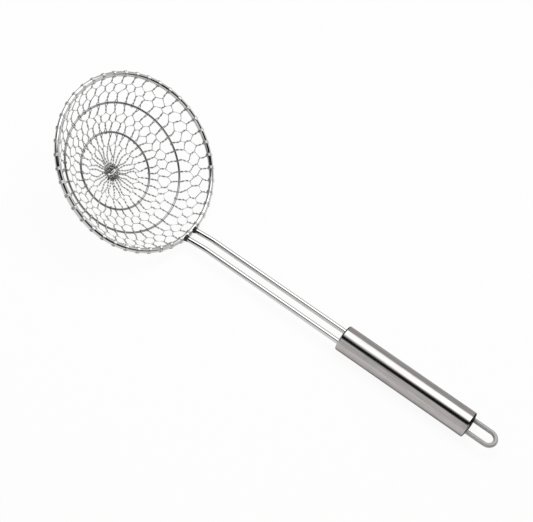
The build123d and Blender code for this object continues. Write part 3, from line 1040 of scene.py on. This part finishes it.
class SKIMMER_OT_finishes(bpy.types.Operator):
    """The steel finishes, one for each slot, and those of the caps and the tangle"""

    bl_idname = "skimmer.finishes"
    bl_label = "Finishes"

    def execute(self, context):
        finish = context.scene.skimmer_finish
        steel, satin, weld = tuple(finish.steel), tuple(finish.satin), tuple(finish.weld)
        loop, knot = tuple(finish.loop), tuple(finish.knot)
        # Darker and lighter copies of the same steel: painted shade on the rings, painted light on
        # the net
        ring, net = (tuple(share * part for part in steel) for share in (RING_PAINTED_SHADE, NET_PAINTED_LIGHT))
        bright, brushed = finish.polish, finish.brushing
        # Name, colour, roughness, stretch of the grain, streaks, soil, bump, and what few have
        finishes = (
            ("polished_wire", steel, bright, (700, 700, 700), 0.05, 0.06, 0.15, {"edge": 0.55}),
            ("ring_wire", ring, bright + 0.06, (900, 900, 900), 0.08, 0.08, 0.2, {}),
            # The net wires' dark values take their colour down: painted shade in the twists and the
            # wraps
            ("net_wire", net, bright + 0.06, (1200, 1200, 1200), 0.05, 0.05, 0.2,
             {"dark": ("dark", 0.36)}),
            ("polished_rod", steel, bright - 0.02, (40, 1400, 1400), 0.05, 0.04, 0.1,
             {"edge": 0.6}),
            ("brushed_tube", satin, brushed, (30, 1400, 1400), 0.36, 0.1, 0.22, {"edge": 0.4}),
            # The caps carry a painted shade stripe between the loop's arms and between the rods
            ("capped_end", satin, brushed + 0.1, (900, 900, 900), 0.2, 0.08, 0.25,
             {"edge": 0.3, "dark": (CAP_SHADE_STRIPE, 0.08)}),
            ("satin_loop", loop, finish.loop_satin, (900, 900, 900), 0.15, 0.08, 0.3,
             {"metallic": 0.45, "edge": 0.5}),
            # The tangle is darkened in bands along its wire by its dark values
            ("knot_wire", knot, bright + 0.1, (1200, 1200, 1200), 0.2, 0.1, 0.2,
             {"dark": ("dark", 0.12)}),
            ("weld_bead", weld, 0.42, (1500, 1500, 1500), 0.35, 0.3, 1.0, {"metallic": 0.85}),
        )
        steel_grain_group()
        for *values, few in finishes:
            steel_material(*values, **few)
        return {"FINISHED"}


class SKIMMER_OT_stage(bpy.types.Operator):
    """The floor, the studio light and the camera"""

    bl_idname = "skimmer.stage"
    bl_label = "Stage"

    def execute(self, context):
        stage = context.scene.skimmer_stage
        self.floor(stage)
        self.world(context.scene, stage)
        self.key_light(context.scene, stage)
        self.camera(context.scene, stage)
        context.scene.view_settings.view_transform = "Standard"
        return {"FINISHED"}

    def floor(self, stage):
        """A pale floor that the camera sees nearly white, with the object's shadow on it."""
        half = stage.floor_size / 2
        corners = [(-half, -half, 0), (half, -half, 0), (half, half, 0), (-half, half, 0)]
        mesh = bpy.data.meshes.new("floor")
        mesh.from_pydata(corners, [], [(0, 1, 2, 3)])
        floor = bpy.data.objects.new("floor", mesh)
        bpy.context.scene.collection.objects.link(floor)
        material = bpy.data.materials.new("floor_paper")
        material.use_nodes = True
        tree = material.node_tree
        tree.nodes.clear()
        level = stage.floor_level
        paper = fed(add(tree, "ShaderNodeBsdfDiffuse"), ("Color", (level, level, level, 1)))
        white = fed(add(tree, "ShaderNodeEmission"), ("Color", (1, 1, 1, 1)), ("Strength", 1.0))
        path = add(tree, "ShaderNodeLightPath")
        seen = sum_of(tree, "MULTIPLY", path.outputs["Is Camera Ray"], stage.floor_white)
        share = sum_of(tree, "MULTIPLY_ADD", path.outputs["Is Glossy Ray"], stage.floor_mirrored,
                       seen)
        mix = fed(add(tree, "ShaderNodeMixShader"),
                  (0, share), (1, paper.outputs[0]), (2, white.outputs[0]))
        fed(add(tree, "ShaderNodeOutputMaterial"), ("Surface", mix.outputs[0]))
        mesh.materials.append(material)

    def world(self, scene, stage):
        """White for the camera, a plain ambient light, and a studio of soft panels for reflections.

        A panel puts its own strength over the value before it, where its mask is 1.
        """
        world = bpy.data.worlds.new("studio")
        world.use_nodes = True
        tree = world.node_tree
        tree.nodes.clear()
        way = add(tree, "ShaderNodeTexCoord").outputs["Generated"]
        value = stage.surround
        for centre, squeeze, reach, soft, strength in PANELS:
            off = fed(add(tree, "ShaderNodeVectorMath", operation="SUBTRACT"),
                      (0, way), (1, centre))
            mask = mask_near(tree, off.outputs[0], squeeze, reach - soft, reach)
            value = blended(tree, mask, value, strength)
        light = add(tree, "ShaderNodeLightPath")
        plain = blended(tree, light.outputs["Is Glossy Ray"], stage.ambient, value)
        seen = blended(tree, light.outputs["Is Camera Ray"], plain, 1.0)
        background = fed(add(tree, "ShaderNodeBackground"), ("Strength", seen))
        fed(add(tree, "ShaderNodeOutputWorld"), ("Surface", background.outputs[0]))
        scene.world = world

    def key_light(self, scene, stage):
        """One large lamp above, which only softens the shadow: metal doesn't mirror it."""
        lamp = bpy.data.lights.new("key", "AREA")
        lamp.shape = "SQUARE"
        lamp.size = KEY_SIZE
        lamp.energy = stage.key_power
        key = bpy.data.objects.new("key", lamp)
        key.location = KEY_PLACE
        key.rotation_euler = KEY_TILT
        key.visible_glossy = False
        scene.collection.objects.link(key)

    def camera(self, scene, stage):
        """The camera looks along minus its back way, turned about it by the roll."""
        azimuth, elevation, roll = stage.azimuth, stage.elevation, stage.roll
        back = np.array((math.sin(azimuth) * math.cos(elevation),
                         -math.cos(azimuth) * math.cos(elevation), math.sin(elevation)))
        level = np.array((math.cos(azimuth), math.sin(azimuth), 0.0))
        right = math.cos(roll) * level + math.sin(roll) * np.cross(back, level)
        upward = np.cross(back, right)
        data = bpy.data.cameras.new("camera")
        data.sensor_width = SENSOR_WIDTH
        data.lens = stage.focal
        data.clip_end = SIGHT
        camera = bpy.data.objects.new("camera", data)
        columns = np.array((right, upward, back, stage.camera_place))
        camera.matrix_world = Matrix(columns.T.tolist()).to_4x4()
        scene.collection.objects.link(camera)
        scene.camera = camera


OPERATORS = (
    SKIMMER_OT_finishes,
    SKIMMER_OT_rings,
    SKIMMER_OT_net,
    SKIMMER_OT_rim_wraps,
    SKIMMER_OT_centre_knot,
    SKIMMER_OT_rods,
    SKIMMER_OT_handle,
    SKIMMER_OT_hanging_loop,
    SKIMMER_OT_stage,
)


class SKIMMER_PT_panel(bpy.types.Panel):
    """Builds the skimmer step by step"""

    bl_idname = "SKIMMER_PT_panel"
    bl_label = "Spider skimmer"
    bl_space_type = "VIEW_3D"
    bl_region_type = "UI"
    bl_category = "Skimmer"

    def draw(self, context):
        for operator in OPERATORS:
            self.layout.operator(operator.bl_idname)
        for name, group in GROUPS.items():
            box = self.layout.box()
            for field in group.__annotations__:
                box.prop(getattr(context.scene, name), field)


def register():
    """Registers the settings, the operators and the panel."""
    for name, group in GROUPS.items():
        bpy.utils.register_class(group)
        setattr(bpy.types.Scene, name, PointerProperty(type=group))
    for operator in OPERATORS:
        bpy.utils.register_class(operator)
    bpy.utils.register_class(SKIMMER_PT_panel)


def unregister():
    """Takes them out again."""
    bpy.utils.unregister_class(SKIMMER_PT_panel)
    for operator in reversed(OPERATORS):
        bpy.utils.unregister_class(operator)
    for name, group in reversed(GROUPS.items()):
        delattr(bpy.types.Scene, name)
        bpy.utils.unregister_class(group)


def main():
    """Builds every piece."""
    register()
    for operator in OPERATORS:
        family, step = operator.bl_idname.split(".")
        getattr(getattr(bpy.ops, family), step)()


if __name__ == "__main__":
    main()
